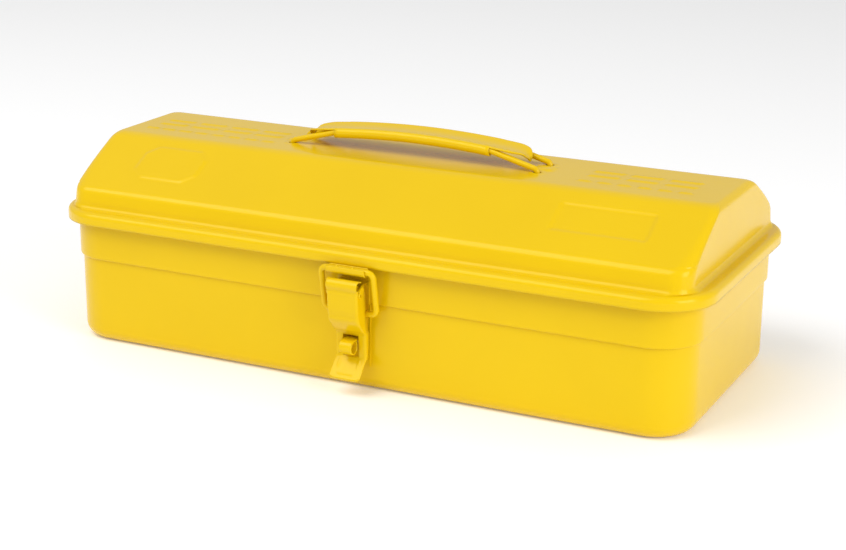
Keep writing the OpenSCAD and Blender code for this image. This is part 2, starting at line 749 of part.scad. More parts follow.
body_shell();
lid_shell();
tray_pan();
left_hinge_body_leaf();
right_hinge_body_leaf();
left_hinge_lid_leaf();
right_hinge_lid_leaf();
left_hinge_pin();
right_hinge_pin();
hinge_body_rivets();
hinge_lid_rivets();
handle_grip();
left_handle_wire();
right_handle_wire();
left_handle_plate();
right_handle_plate();
latch_base_plate();
latch_base_rivets();
latch_pivot_pin();
padlock_staple();
latch_lever();
latch_bail();
latch_catch();
left_tray_divider();
right_tray_divider();
long_tray_divider();
left_tray_ear();
right_tray_ear();
tray_rivets();
tray_handle();
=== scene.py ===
import json
import math

import bmesh
import bpy
from mathutils import Matrix, Vector


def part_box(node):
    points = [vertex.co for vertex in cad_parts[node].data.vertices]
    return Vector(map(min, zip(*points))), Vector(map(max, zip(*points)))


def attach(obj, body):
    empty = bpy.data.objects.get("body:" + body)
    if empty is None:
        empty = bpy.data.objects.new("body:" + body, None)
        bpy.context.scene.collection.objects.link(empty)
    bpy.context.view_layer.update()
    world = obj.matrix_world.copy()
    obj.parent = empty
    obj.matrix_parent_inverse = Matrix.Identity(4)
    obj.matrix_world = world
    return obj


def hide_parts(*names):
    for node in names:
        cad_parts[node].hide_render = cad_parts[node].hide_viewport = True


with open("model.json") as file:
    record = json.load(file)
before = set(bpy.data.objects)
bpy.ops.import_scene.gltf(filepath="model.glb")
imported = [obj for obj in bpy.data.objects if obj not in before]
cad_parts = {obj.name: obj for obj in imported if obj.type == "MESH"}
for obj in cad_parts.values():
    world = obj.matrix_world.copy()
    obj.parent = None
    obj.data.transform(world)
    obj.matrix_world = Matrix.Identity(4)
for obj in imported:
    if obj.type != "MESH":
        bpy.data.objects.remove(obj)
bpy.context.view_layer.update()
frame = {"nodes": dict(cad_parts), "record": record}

MM = 0.001

# ---- Sizes in millimetres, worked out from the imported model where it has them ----


def box_mm(node):
    low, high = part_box(node)
    return low / MM, high / MM


LID_LOW, LID_HIGH = box_mm("lid_shell")
GRIP_HIGH = box_mm("handle_grip")[1]
HANDLE_WIRE_LOW, HANDLE_WIRE_HIGH = box_mm("right_handle_wire")
LEVER_LOW, LEVER_HIGH = box_mm("latch_lever")
BAIL_LOW, BAIL_HIGH = box_mm("latch_bail")
CATCH_LOW, CATCH_HIGH = box_mm("latch_catch")
STAPLE_LOW, STAPLE_HIGH = box_mm("padlock_staple")

# Out and in (U) are measured square to the case wall. Heights (Z) are measured from the floor.
SHEET = 0.8
WIRE_R = 1.6
RIM_PROUD = 5.8
RIM_R = 29.8
LIP_H = 3.7
BEAD_R = 3.2
HOLLOW_R = 3.0
SKIRT_IN = 8.6
SKIRT_LEAN = 1.7
BREAK_UP = 17.7
TOP_DEPTH = 59.8
STEP_Z = 48.2
STEP_IN = 1.5
BOTTOM_R = 7.5
RIM_GAP = 0.4
FLANGE_LIP = 2.3

RIM_Z = LID_LOW.z
TOP_Z = LID_HIGH.z
WALL_X = LID_HIGH.x - RIM_PROUD
WALL_Y = LID_HIGH.y - RIM_PROUD
WALL_R = RIM_R - RIM_PROUD
BEAD_Z = RIM_Z + LIP_H
BEAD_U = RIM_PROUD - BEAD_R
SKIRT_U = RIM_PROUD - SKIRT_IN
BREAK_U = SKIRT_U - SKIRT_LEAN
HOLLOW_Z = BEAD_Z + BEAD_R + HOLLOW_R
BREAK_Z = RIM_Z + BREAK_UP
SLOPE = math.atan2(TOP_Z - BREAK_Z, WALL_Y + BREAK_U - TOP_DEPTH / 2)

# ---- Materials ----

YELLOW, DEEP_YELLOW = (0.77, 0.51, 0.002, 1), (0.745, 0.488, 0.002, 1)
TRAY_YELLOW, DEEP_TRAY_YELLOW = (0.75, 0.49, 0.003, 1), (0.71, 0.46, 0.003, 1)
DARK_ZINC, PALE_ZINC = (0.42, 0.42, 0.4, 1), (0.72, 0.72, 0.7, 1)
DRIFT_SCALE = 14.0
SMEAR_SCALE = 60.0
PEEL_SCALE = 900.0
DULL_LESS, DULL_MORE = 0.05, 0.07
SCRATCH_SCALE = (40, 900, 900)


def node_of(tree, kind, **inputs):
    made = tree.nodes.new(kind)
    for name, value in inputs.items():
        made.inputs[name.replace("_", " ")].default_value = value
    return made


def noise_node(tree, coords, scale, detail):
    made = node_of(tree, "ShaderNodeTexNoise", Scale=scale, Detail=detail)
    tree.links.new(coords, made.inputs["Vector"])
    return made


def ramp(tree, source, stops):
    made = tree.nodes.new("ShaderNodeValToRGB")
    for element, (place, colour) in zip(made.color_ramp.elements, stops):
        element.position = place
        element.color = colour
    tree.links.new(source, made.inputs["Fac"])
    return made


def new_material(name):
    """A material with its node tree, its shader and the object coordinates."""
    material = bpy.data.materials.new(name)
    material.use_nodes = True
    tree = material.node_tree
    shader = tree.nodes["Principled BSDF"]
    coords = tree.nodes.new("ShaderNodeTexCoord").outputs["Object"]
    return material, tree, shader, coords


def add_bump(tree, shader, height, strength, distance):
    bump = node_of(tree, "ShaderNodeBump", Strength=strength, Distance=distance)
    tree.links.new(height.outputs["Fac"], bump.inputs["Height"])
    tree.links.new(bump.outputs["Normal"], shader.inputs["Normal"])


def painted(name, colour, deep, roughness):
    """Glossy enamel on sheet: slight drift in colour and gloss, and orange peel."""
    material, tree, shader, coords = new_material(name)
    drift_noise = noise_node(tree, coords, DRIFT_SCALE, 3.0)
    drift = ramp(tree, drift_noise.outputs["Fac"], [(0.3, deep), (0.7, colour)])
    tree.links.new(drift.outputs["Color"], shader.inputs["Base Color"])
    smear = noise_node(tree, coords, SMEAR_SCALE, 4.0)
    gloss = tree.nodes.new("ShaderNodeMapRange")
    gloss.inputs["To Min"].default_value = roughness - DULL_LESS
    gloss.inputs["To Max"].default_value = roughness + DULL_MORE
    tree.links.new(smear.outputs["Fac"], gloss.inputs["Value"])
    tree.links.new(gloss.outputs["Result"], shader.inputs["Roughness"])
    add_bump(tree, shader, noise_node(tree, coords, PEEL_SCALE, 2.0), 0.05, 0.0002)
    shader.inputs["Specular IOR Level"].default_value = 0.34
    shader.inputs["Specular Tint"].default_value = (1, 0.93, 0.5, 1)
    return material


def plated(name):
    """Bright zinc with fine drawn scratches along X."""
    material, tree, shader, coords = new_material(name)
    stretch = tree.nodes.new("ShaderNodeMapping")
    stretch.inputs["Scale"].default_value = SCRATCH_SCALE
    tree.links.new(coords, stretch.inputs["Vector"])
    grain = noise_node(tree, stretch.outputs["Vector"], 1.0, 4.0)
    tone = ramp(tree, grain.outputs["Fac"], [(0.25, DARK_ZINC), (0.75, PALE_ZINC)])
    tree.links.new(tone.outputs["Color"], shader.inputs["Base Color"])
    add_bump(tree, shader, grain, 0.15, 0.0001)
    shader.inputs["Metallic"].default_value = 1.0
    shader.inputs["Roughness"].default_value = 0.3
    return material


PAINT = painted("yellow_enamel", YELLOW, DEEP_YELLOW, 0.2)
TRAY_PAINT = painted("tray_enamel", TRAY_YELLOW, DEEP_TRAY_YELLOW, 0.3)
ZINC = plated("bright_zinc")

# ---- Mesh helpers ----

INWARD, CENTRED = -1, 0


def turn_outward(build):
    """Makes the faces of an open or closed surface look away from its middle."""
    bmesh.ops.recalc_face_normals(build, faces=build.faces)
    middle = sum((v.co for v in build.verts), Vector()) / len(build.verts)
    outward = sum(f.normal.dot(f.calc_center_median() - middle) * f.calc_area() for f in build.faces)
    if outward < 0:
        bmesh.ops.reverse_faces(build, faces=build.faces)


def new_piece(name, points, faces, body, nodes, sheet=None):
    """A smooth painted piece in millimetres that rides on a body and stands for CAD nodes.

    A piece of sheet is given its thickness inward from its points, or centred on them.
    """
    mesh = bpy.data.meshes.new(name)
    mesh.from_pydata([Vector(p) * MM for p in points], [], faces)
    build = bmesh.new()
    build.from_mesh(mesh)
    bmesh.ops.remove_doubles(build, verts=build.verts, dist=1e-6)
    turn_outward(build)
    build.to_mesh(mesh)
    build.free()
    piece = bpy.data.objects.new(name, mesh)
    bpy.context.scene.collection.objects.link(piece)
    if sheet is not None:
        shell = piece.modifiers.new("sheet", "SOLIDIFY")
        shell.thickness = SHEET * MM
        shell.offset = sheet
    mesh.materials.append(PAINT)
    mesh.shade_smooth()
    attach(piece, body)
    if nodes:
        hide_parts(*nodes)
    return piece


def grid_faces(rows, columns, closed=False, skip=lambda i, j: False):
    """Quads between rows of points; skip leaves some out."""
    wrap = columns if closed else columns - 1
    return [
        (i * columns + j, i * columns + (j + 1) % columns,
         (i + 1) * columns + (j + 1) % columns, (i + 1) * columns + j)
        for i in range(rows - 1) for j in range(wrap) if not skip(i, j)
    ]


def arc(centre, radius, start, end, steps):
    """Points of an arc in degrees."""
    angles = [math.radians(start + (end - start) * i / steps) for i in range(steps + 1)]
    return [(centre[0] + radius * math.cos(a), centre[1] + radius * math.sin(a)) for a in angles]


def spread(start, end, step):
    """Even steps from start to end, end left out."""
    count = max(1, round(abs(end - start) / step))
    return [start + (end - start) * i / count for i in range(count)]


def outline(half_x, half_y, radius, step_x, step_y, corner=14):
    """A rounded rectangle, anticlockwise from the front left corner, with even steps along its sides."""
    x, y = half_x - radius, half_y - radius
    columns = round(2 * (WALL_X - WALL_R) / step_x)
    rows = round(2 * (WALL_Y - WALL_R) / step_y)
    front = [(-x + 2 * x * i / columns, -half_y) for i in range(columns)]
    right = [(half_x, -y + 2 * y * i / rows) for i in range(rows)]
    points = front + arc((x, -y), radius, 270, 360, corner)[:-1]
    points += right + arc((x, y), radius, 0, 90, corner)[:-1]
    points += [(-px, half_y) for px, _ in front] + arc((-x, y), radius, 90, 180, corner)[:-1]
    points += [(-half_x, -py) for _, py in right] + arc((-x, -y), radius, 180, 270, corner)[:-1]
    return points


def tube(path, radius, sides=20):
    """Points and faces of a round wire along a path, with closed ends."""
    path = [Vector(p) for p in path]
    points, side = [], Vector((0, 1, 0))
    last = len(path) - 1
    for i, centre in enumerate(path):
        ahead = (path[min(i + 1, last)] - path[max(i - 1, 0)]).normalized()
        side = side - side.dot(ahead) * ahead
        if side.length < 1e-4:
            side = ahead.orthogonal()
        side.normalize()
        other = ahead.cross(side)
        for k in range(sides):
            angle = math.tau * k / sides
            points.append(centre + radius * (math.cos(angle) * side + math.sin(angle) * other))
    faces = grid_faces(len(path), sides, closed=True)
    faces += [tuple(range(sides)), tuple(last * sides + k for k in reversed(range(sides)))]
    return points, faces


def joined(*meshes):
    """Several (points, faces) as one."""
    points, faces = [], []
    for more_points, more_faces in meshes:
        base = len(points)
        points += more_points
        faces += [tuple(base + v for v in face) for face in more_faces]
    return points, faces


def rounded_path(corners, radius, steps=8):
    """A path through corners, each but the first and last rounded by an arc."""
    corners = [Vector(c) for c in corners]
    path = [corners[0]]
    for before, corner, after in zip(corners, corners[1:], corners[2:]):
        a, b = (before - corner).normalized(), (after - corner).normalized()
        half = a.angle(b) / 2
        reach = radius / math.tan(half)
        centre = corner + (a + b).normalized() * radius / math.sin(half)
        start, end = corner + a * reach - centre, corner + b * reach - centre
        turn = start.angle(end)
        for i in range(steps + 1):
            t = i / steps
            path.append(centre + (start * math.sin((1 - t) * turn) + end * math.sin(t * turn)) / math.sin(turn))
    return path + [corners[-1]]


def smoothstep(t):
    t = min(1.0, max(0.0, t))
    return t * t * (3 - 2 * t)


def pad(dx, dy, half_x, half_y, soft):
    """1 on a rounded pad, falling smoothly to 0 over soft."""
    qx, qy = abs(dx) - half_x + soft, abs(dy) - half_y + soft
    outside = math.hypot(max(qx, 0), max(qy, 0)) + min(max(qx, qy), 0)
    return smoothstep(1 - outside / soft)


# ---- Case ----

CASE_PITCH_X, CASE_PITCH_Y = 9, 8
JOGGLE_R, JOGGLE_TURN = 1.2, 55
JOGGLE_LOW_Z, JOGGLE_HIGH_Z = STEP_Z - 1.0, STEP_Z + 0.6
LOWER_WALL_Z = (16, 26, 36, STEP_Z - 2.2)
UPPER_WALL_Z = (STEP_Z + 2, 56, 64, 69)
FLANGE_BEND_R = 1.0
FLANGE_R = BEAD_R - 2 * SHEET - RIM_GAP


def case():
    """The case: a pan with a stepped wall and a flange turned out inside the lid's rim."""
    section = arc((-STEP_IN - BOTTOM_R, BOTTOM_R), BOTTOM_R, -90, 0, 10)
    section += [(-STEP_IN, z) for z in LOWER_WALL_Z]
    section += arc((-STEP_IN + JOGGLE_R, JOGGLE_LOW_Z), JOGGLE_R, 180, 180 - JOGGLE_TURN, 4)
    section += arc((-JOGGLE_R, JOGGLE_HIGH_Z), JOGGLE_R, -JOGGLE_TURN, 0, 4)
    section += [(0, z) for z in UPPER_WALL_Z]
    section += arc((FLANGE_BEND_R, BEAD_Z + FLANGE_R - FLANGE_BEND_R), FLANGE_BEND_R, 180, 90, 4)
    section += arc((BEAD_U, BEAD_Z), FLANGE_R, 90, 0, 5)
    section += [(BEAD_U + FLANGE_R, BEAD_Z - FLANGE_LIP)]
    points = []
    for u, z in section:
        ring = outline(WALL_X + u, WALL_Y + u, WALL_R + u, CASE_PITCH_X, CASE_PITCH_Y)
        points += [(x, y, z) for x, y in ring]
    columns = len(ring)
    faces = grid_faces(len(section), columns, closed=True)
    faces.append(tuple(reversed(range(columns))))
    return new_piece("case_shell", points, faces, "box", ["body_shell"], INWARD)


# ---- Lid ----

LID_PITCH_X, LID_PITCH_Y = 0.95, 2.2
ROOF_PITCH = 0.42
BREAK_TOP_GAP = 0.35
TOP_PITCH = 0.85
FIRST_INSET = 0.8
RIM_FLAT_Z = (RIM_Z, RIM_Z + 1.2, RIM_Z + 2.5)
SKIRT_ROWS = (0.2, 0.4, 0.55)
SKIRT_CORNER_R = 10.5
TOP_CORNER_R = 4.5
END_EDGE_R = 4.0
TOP_EDGE_R = 16.0
BREAK_R = 5.5
# The plan corners tighten from the case's radius to the skirt's between these two distances.
TIGHTEN_START, TIGHTEN_END = BEAD_U - 0.6, SKIRT_U

WIRE_Y = (HANDLE_WIRE_HIGH.y - HANDLE_WIRE_LOW.y) / 2 - WIRE_R
HOLE_X = HANDLE_WIRE_HIGH.x - WIRE_R
HOLE_R = 2.15

# Each row of top ribs: its Y, the rib's depth, its length and the gap to the next.
RIB_ROWS = ((7.5, 4.4, 17.5, 3.4), (-1.8, 4.4, 17.5, 3.4), (-14.0, 3.2, 8.2, 2.6))
# Each field of top ribs: its middle and its length.
RIB_FIELDS = ((-124.0, 82.0), (128.0, 61.5))
RIB_H, RIB_LEAN, RIB_SOFT = 0.55, 0.35, 1.4
BRIDGE_H, BRIDGE_HALF_X, BRIDGE_HALF_Y, BRIDGE_SOFT = 0.9, 7.0, 5.6, 3.0
BRIDGE_REACH = 14
HOLE_LIP_H, HOLE_LIP_R, HOLE_LIP_WIDTH = 0.25, 3.6, 0.8

PANEL_H = 0.55
LABEL_X, LABEL_DOWN, LABEL_HALF_X, LABEL_HALF_DOWN, LABEL_SOFT = 124.7, 21.5, 25.8, 10.4, 1.3
BADGE_X, BADGE_DOWN, BADGE_HALF_X, BADGE_HALF_DOWN = -127.0, 22.0, 19.5, 12.8
BADGE_CORNER_SUM, BADGE_SOFT = 26.0, 1.6
COS_45 = 0.7071


def top_relief(x, y):
    """Height of the pressed ribs, and of the bridges with the handle's holes, on the flat top."""
    height = 0.0
    for middle, length in RIB_FIELDS:
        for row_y, rib_depth, rib_length, gap in RIB_ROWS:
            if abs(x - middle) < length / 2 + 4:
                pitch = rib_length + gap
                count = round(length / pitch)
                for i in range(count):
                    centre = middle + (i - (count - 1) / 2) * pitch + RIB_LEAN * (y - row_y)
                    height += RIB_H * pad(x - centre, y - row_y, rib_length / 2, rib_depth / 2, RIB_SOFT)
    from_hole = abs(x) - HOLE_X
    if abs(from_hole) < BRIDGE_REACH:
        height += BRIDGE_H * pad(from_hole, y, BRIDGE_HALF_X, BRIDGE_HALF_Y, BRIDGE_SOFT)
        for hole_y in (-WIRE_Y, WIRE_Y):
            from_lip = math.hypot(from_hole, y - hole_y) - HOLE_LIP_R
            height += HOLE_LIP_H * math.exp(-(from_lip / HOLE_LIP_WIDTH) ** 2)
    return height


def slope_relief(x, down):
    """Height of the front slope's label recess and eight-sided badge; down is from the flat top's edge."""
    label = pad(x - LABEL_X, down - LABEL_DOWN, LABEL_HALF_X, LABEL_HALF_DOWN, LABEL_SOFT)
    dx, dy = abs(x - BADGE_X), abs(down - BADGE_DOWN)
    outside = max(dx - BADGE_HALF_X, dy - BADGE_HALF_DOWN, (dx + dy - BADGE_CORNER_SUM) * COS_45)
    badge = smoothstep(1 - (outside + BADGE_SOFT / 2) / BADGE_SOFT)
    return PANEL_H * (badge - label)


def pressed(x, y, z):
    """A point of the lid's outside, moved by the relief pressed into it."""
    if z > TOP_Z - 1.2 and abs(y) < TOP_DEPTH / 2 - 1:
        return x, y, z + top_relief(x, y)
    if y < 0 and BREAK_Z + 1 < z < TOP_Z:
        rise = slope_relief(x, (TOP_Z - z) / math.sin(SLOPE))
        return x, y - rise * math.sin(SLOPE), z + rise * math.cos(SLOPE)
    return x, y, z


def rim_section():
    """The lid's rim, bead, hollow and lower skirt, as (U, Z)."""
    section = [(RIM_PROUD, z) for z in RIM_FLAT_Z]
    section += arc((BEAD_U, BEAD_Z), BEAD_R, 0, 90, 9)
    section += arc((SKIRT_U + HOLLOW_R, HOLLOW_Z), HOLLOW_R, 270, 180, 8)
    skirt_h = BREAK_Z - HOLLOW_Z
    return section + [(SKIRT_U - SKIRT_LEAN * t, HOLLOW_Z + skirt_h * t) for t in SKIRT_ROWS]


def break_section():
    """The fillet where the skirt breaks into the slope, as (U, Z)."""
    lean = math.atan2(SKIRT_LEAN, BREAK_Z - HOLLOW_Z)
    turn = math.pi / 2 - SLOPE - lean
    reach = BREAK_R * math.tan(turn / 2)
    centre = (BREAK_U + reach * math.sin(lean) - BREAK_R * math.cos(lean),
              BREAK_Z - reach * math.cos(lean) - BREAK_R * math.sin(lean))
    return arc(centre, BREAK_R, math.degrees(lean), math.degrees(lean + turn), 8)


def roof_heights(start):
    """Heights of the roof's rings from start to just under the flat top."""
    edge = [TOP_Z - END_EDGE_R * (1 - math.cos(math.radians(angle))) for angle in range(90, 0, -6)]
    return spread(start, TOP_Z - END_EDGE_R, ROOF_PITCH) + edge + [TOP_Z - 0.004]


def roof_ring(z):
    """Half sizes and corner radius of the roof at a height."""
    drop = TOP_Z - z
    half_x = WALL_X + SKIRT_U
    if drop < END_EDGE_R:
        half_x -= END_EDGE_R - math.sqrt(max(0.0, END_EDGE_R ** 2 - (END_EDGE_R - drop) ** 2))
    half_y = TOP_DEPTH / 2 + drop / math.tan(SLOPE)
    if drop < TOP_EDGE_R * (1 - math.cos(SLOPE)):
        edge_y = TOP_DEPTH / 2 - TOP_EDGE_R * math.tan(SLOPE / 2)
        half_y = edge_y + math.sqrt(max(0.0, TOP_EDGE_R ** 2 - (TOP_EDGE_R - drop) ** 2))
    up = (z - BREAK_Z) / (TOP_Z - BREAK_Z)
    radius = TOP_CORNER_R + (SKIRT_CORNER_R - TOP_CORNER_R) * (1 - up) ** 3
    return half_x, half_y, radius


def lid_rings():
    """Every ring of the lid's outside with its height, from the rim to the middle line of the top."""
    sizes = []
    for u, z in rim_section():
        tighten = smoothstep((TIGHTEN_START - u) / (TIGHTEN_START - TIGHTEN_END))
        radius = (WALL_R + u) * (1 - tighten) + SKIRT_CORNER_R * tighten
        sizes.append((WALL_X + max(u, SKIRT_U), WALL_Y + u, radius, z))
    for u, z in break_section():
        sizes.append((WALL_X + SKIRT_U, WALL_Y + u, SKIRT_CORNER_R, z))
    break_top = sizes[-1][-1]
    sizes += [(*roof_ring(z), z) for z in roof_heights(break_top + BREAK_TOP_GAP)]
    half_x, half_y, radius = roof_ring(TOP_Z)
    for inset in spread(FIRST_INSET, half_y, TOP_PITCH) + [half_y]:
        sizes.append((half_x - inset, half_y - inset, radius * (1 - inset / half_y), TOP_Z))
    return [(outline(x, y, radius, LID_PITCH_X, LID_PITCH_Y), z) for x, y, radius, z in sizes]


def cut_handle_holes(piece):
    """Cuts the four holes for the handle's wires and applies the piece's modifiers."""
    posts = [tube([(x, y, TOP_Z - 6), (x, y, TOP_Z + 6)], HOLE_R, 28)
             for x in (-HOLE_X, HOLE_X) for y in (-WIRE_Y, WIRE_Y)]
    points, faces = joined(*posts)
    mesh = bpy.data.meshes.new("hole_cutter")
    mesh.from_pydata([Vector(p) * MM for p in points], [], faces)
    cutter = bpy.data.objects.new("hole_cutter", mesh)
    bpy.context.scene.collection.objects.link(cutter)
    cut = piece.modifiers.new("holes", "BOOLEAN")
    cut.operation = "DIFFERENCE"
    cut.solver = "FAST"
    cut.object = cutter
    bpy.context.view_layer.update()
    result = bpy.data.meshes.new_from_object(piece.evaluated_get(bpy.context.evaluated_depsgraph_get()))
    piece.modifiers.clear()
    piece.data = result
    bpy.data.objects.remove(cutter)


def lid():
    rings = lid_rings()
    points = [pressed(x, y, z) for ring, z in rings for x, y in ring]
    faces = grid_faces(len(rings), len(rings[0][0]), closed=True)
    piece = new_piece("lid_shell_pressed", points, faces, "lid", ["lid_shell"], INWARD)
    cut_handle_holes(piece)
    return piece


# ---- Handle ----

# The grip is an arch of sheet with both edges curled; the wires come out of the curls' ends.
ARCH_R = 500.0
CURL_HALF = 46.0
CURL_R = 2.5
CURL_Z = TOP_Z + 10.6
CURL_STRETCH = 1.25
CURL_WRAP, SHOULDER_TURN = 225, 112
VALLEY_DROP = 0.7
VALLEY_ROWS = (0.85, 0.7, 0.55, 0.4, 0.2, 0)
GRIP_HALF = GRIP_HIGH.x
GRIP_NOSE, GRIP_NOSE_REACH = 11.0, 10.8
NOSE_DROOP, TIP_DROOP, TIP_START = 1.0, 3.0, 0.72
MIN_WIDTH_SQUARED = 0.02
END_SQUASH = 0.95
SHOULDER_CUT = 4


def grip():
    """The pressed grip: a panel with shoulders over its whole length, curled under between the wire ends."""
    curl_mid_r = CURL_R - SHEET / 2
    curl = arc((WIRE_Y, 0), curl_mid_r, -CURL_WRAP, 0, 16)
    curl = [(y, z * (CURL_STRETCH if z < 0 else 1)) for y, z in curl]
    shoulder = arc((WIRE_Y, 0), curl_mid_r, 0, SHOULDER_TURN, 8)[1:]
    inner_y, inner_z = shoulder[-1]
    valley = [(inner_y * t, VALLEY_DROP + (inner_z - VALLEY_DROP) * t * t) for t in VALLEY_ROWS]
    half = curl + shoulder + valley
    section = half + [(-y, z) for y, z in reversed(half[:-1])]
    columns = len(section)
    end = GRIP_HALF - 0.2
    stations = spread(-end, -CURL_HALF, 1.1) + spread(-CURL_HALF, CURL_HALF, 2.3)
    stations += spread(CURL_HALF, end, 1.1) + [end]
    points = []
    for x in stations:
        past = max(0.0, abs(x) - (GRIP_HALF - GRIP_NOSE)) / GRIP_NOSE_REACH
        narrow = math.sqrt(max(MIN_WIDTH_SQUARED, 1 - past ** 2.2))
        tip = max(0.0, (past - TIP_START) / (1 - TIP_START))
        arch = math.sqrt(ARCH_R ** 2 - x ** 2) - ARCH_R
        base_z = CURL_Z + arch - NOSE_DROOP * past ** 2 - TIP_DROOP * tip ** 2
        squash = 1 if abs(x) <= CURL_HALF else END_SQUASH
        points += [(x, y * narrow, base_z + z * squash) for y, z in section]
    cut = len(curl) - 1 + SHOULDER_CUT

    def skip(i, j):
        past_curl = max(abs(stations[i]), abs(stations[i + 1])) > CURL_HALF + 0.01
        return past_curl and (j < cut or j >= columns - 1 - cut)

    faces = grid_faces(len(stations), columns, skip=skip)
    return new_piece("grip_pressed", points, faces, "handle", ["handle_grip"], CENTRED)


END_BEND_R, HOLE_BEND_R, BAR_BEND_R = 6.0, 2.6, 2.4
WIRE_IN_CURL = 8.0
WIRE_SLOPE = 15


def half_wire():
    """Front half of the right wire: out of the curl, down its slope, through the hole to the bar below."""
    start, slope = math.asin(CURL_HALF / ARCH_R), math.radians(WIRE_SLOPE)
    end = (CURL_HALF, CURL_Z - ARCH_R + ARCH_R * math.cos(start))
    end_bend = (end[0] - END_BEND_R * math.sin(start), end[1] - END_BEND_R * math.cos(start))
    radius_change = END_BEND_R - HOLE_BEND_R
    run = HOLE_X - end_bend[0] - END_BEND_R * math.sin(slope) - HOLE_BEND_R * (1 - math.sin(slope))
    leg = run / math.cos(slope)
    hole_bend = (end_bend[0] + radius_change * math.sin(slope) + leg * math.cos(slope),
                 end_bend[1] + radius_change * math.cos(slope) - leg * math.sin(slope))
    bar_bend = (BAR_BEND_R - WIRE_Y, HANDLE_WIRE_LOW.z + WIRE_R + BAR_BEND_R)
    path = [(end[0] - WIRE_IN_CURL * math.cos(start), -WIRE_Y, end[1] + WIRE_IN_CURL * math.sin(start))]
    slope_start = 90 - WIRE_SLOPE
    path += [(x, -WIRE_Y, z) for x, z in arc(end_bend, END_BEND_R, 90 - math.degrees(start), slope_start, 5)]
    path += [(x, -WIRE_Y, z) for x, z in arc(hole_bend, HOLE_BEND_R, slope_start, 0, 10)]
    path += [(HOLE_X, y, z) for y, z in arc(bar_bend, BAR_BEND_R, 180, 270, 8)]
    return path


def wire(name, side, node):
    half = half_wire()
    path = half + [(x, -y, z) for x, y, z in reversed(half)]
    points, faces = tube([(side * x, y, z) for x, y, z in path], WIRE_R)
    return new_piece(name, points, faces, "handle", [node])


# ---- Latch ----

LATCH_X = (LEVER_LOW.x + LEVER_HIGH.x) / 2
LEVER_HALF = (LEVER_HIGH.x - LEVER_LOW.x) / 2
LEVER_PIN = (-(WALL_Y + 10.45), RIM_Z - 10.8)
BAIL_PIVOT = (LEVER_PIN[0] + 6.4, LEVER_PIN[1] - 13.8)
BAIL_BAR = (BAIL_LOW.y + WIRE_R, BAIL_HIGH.z - WIRE_R)
BAIL_CORNER_R = 3.2
CATCH_IN_R = 1.75
WAVE_X, WAVE_REACH, WAVE_UP, WAVE_DOWN = 4.5, 1.2, 1.5, 0.4
STAPLE = (-(WALL_Y + 7.25), 25.5)
STAPLE_IN_R = 3.0
STAPLE_BEND_R = 0.9
SLOT_HALF = 4.5
SLOT_LOW, SLOT_HIGH = 19.7, 31.3

ROLL_R = 3.0
ROLL = (LEVER_PIN[0] - 1.5, LEVER_PIN[1] + 2.3)
FACE_Y = LEVER_PIN[0] - 3.6
PLATE_Y = STAPLE[0] + 3.1
TAB_START, TAB_END = (PLATE_Y - 1.0, 18.0), (LEVER_PIN[0] - 2.1, 9.5)
TAB_CORNER_R = 1.3
TAB_RIB_X, TAB_RIB_Z, TAB_RIB_H = 5.6, 16.6, 0.45
TAB_CROSS_Z, TAB_CROSS_H = 12.2, 0.35
TAB_RIB_SOFT = 0.7
TAB_FLANGE = 1.4
TAB_ROWS = 14
FLANGE_BEND = 1.3
LEVER_PITCH = 0.6

CURL_PIN = (LEVER_PIN[0] - 0.6, LEVER_PIN[1] - 2.0)
CURL_PIN_R, CURL_PIN_EDGE_R, CURL_PIN_PROUD = 1.3, 0.55, 0.3

# Rows of the lever below its roll: Y from its own datum, Z, how deep the side flanges are, and their tilt.
FACE_TOP_ROWS = ((0, 57.6, 2.0, 26.0), (0.3, 57.0, 9.5, 24.0), (-0.15, 56.1, 12.2, 16.0),
                 (0.05, 54.9, 12.6, 7.0))
FACE_ROWS = ((0.1, 52.0, 12.6), (0.4, 48.0, 12.8), (0.7, 44.6, 12.6), (1.15, 43.7, 12.5), (0.95, 42.6, 12.2),
             (1.5, 41.0, 11.5), (3.6, 38.2, 8.8), (6.0, 35.4, 6.0), (7.4, 33.8, 4.4))
PLATE_ROWS = ((-0.5, 32.6, 4.2), (-0.35, SLOT_HIGH, 4.1), (-0.2, 28.0, 3.9), (-0.05, 24.5, 3.6), (0, 21.5, 3.2),
              (0, SLOT_LOW, 2.6), (-0.3, 18.9, 2.1), (-1.0, 18.0, 1.7))


def corner_inset(past_end):
    """How far the tab's side comes in at a height above its end, for its rounded corners."""
    into = min(TAB_CORNER_R, max(0.0, TAB_CORNER_R - past_end))
    return TAB_CORNER_R - math.sqrt(TAB_CORNER_R ** 2 - into ** 2)


def tab_relief(x, z):
    """Height of the two stiffening ribs and the cross rib pressed into the tab."""
    ribs = TAB_RIB_H * pad(abs(x) - TAB_RIB_X, z - TAB_RIB_Z, 0.9, 2.4, TAB_RIB_SOFT)
    return ribs + TAB_CROSS_H * pad(x, z - TAB_CROSS_Z, 5.2, 0.9, TAB_RIB_SOFT)


def lever_rows():
    """The lever from its roll to its tab's end, as (Y, Z, flange depth, flange tilt)."""
    roll = arc(ROLL, ROLL_R, 65, 180, 10) + arc(ROLL, ROLL_R, 190, 215, 3)
    rows = [(y, z, 0.0, 0.0) for y, z in roll]
    rows += [(FACE_Y + back, z, depth, tilt) for back, z, depth, tilt in FACE_TOP_ROWS]
    rows += [(FACE_Y + back, z, depth, 0.0) for back, z, depth in FACE_ROWS]
    rows += [(PLATE_Y + back, z, depth, 0.0) for back, z, depth in PLATE_ROWS]
    for i in range(1, TAB_ROWS + 1):
        t = i / TAB_ROWS
        y = TAB_START[0] + (TAB_END[0] - TAB_START[0]) * t
        z = TAB_START[1] + (TAB_END[1] - TAB_START[1]) * t
        rows.append((y, z, TAB_FLANGE * (1 - t) ** 2, 0.0))
    return rows


